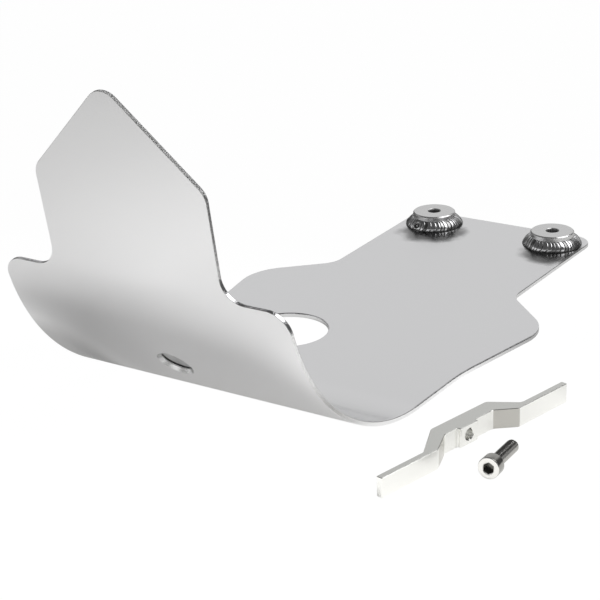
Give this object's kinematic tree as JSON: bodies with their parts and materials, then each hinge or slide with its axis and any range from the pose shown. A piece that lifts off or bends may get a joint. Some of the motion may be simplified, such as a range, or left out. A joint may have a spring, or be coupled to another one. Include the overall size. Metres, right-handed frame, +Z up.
{
  "type": "motorcycle skid plate",
  "caption": "Bent aluminium sheet guard for the underside of a motorcycle engine, with a pointed front shield, welded bolt bosses and its own clamp bar and screw.",
  "frame": {"origin": "on the underside of the flat floor, on the centreline, midway between the two rear bolt holes", "axes": "+X to the rider's left, +Y towards the rear of the motorcycle, +Z up from the flat floor"},
  "size_m": [0.3036, 0.471, 0.2252],
  "materials": {
    "sheet_aluminium": "satin rolled sheet with bright deburred edges",
    "turned_aluminium": "fine turned",
    "weld_metal": "bright rippled weld",
    "milled_aluminium": "fine milled, clear anodised",
    "stainless_steel": "plain stainless"
  },
  "bodies": {
    "root": {"skid_plate": "sheet_aluminium", "left_boss": "turned_aluminium", "right_boss": "turned_aluminium", "front_boss": "turned_aluminium", "left_weld_bead": "weld_metal", "right_weld_bead": "weld_metal", "front_weld_bead": "weld_metal", "clamp_bar": "milled_aluminium", "clamp_screw": "stainless_steel"}
  },
  "joints": []
}
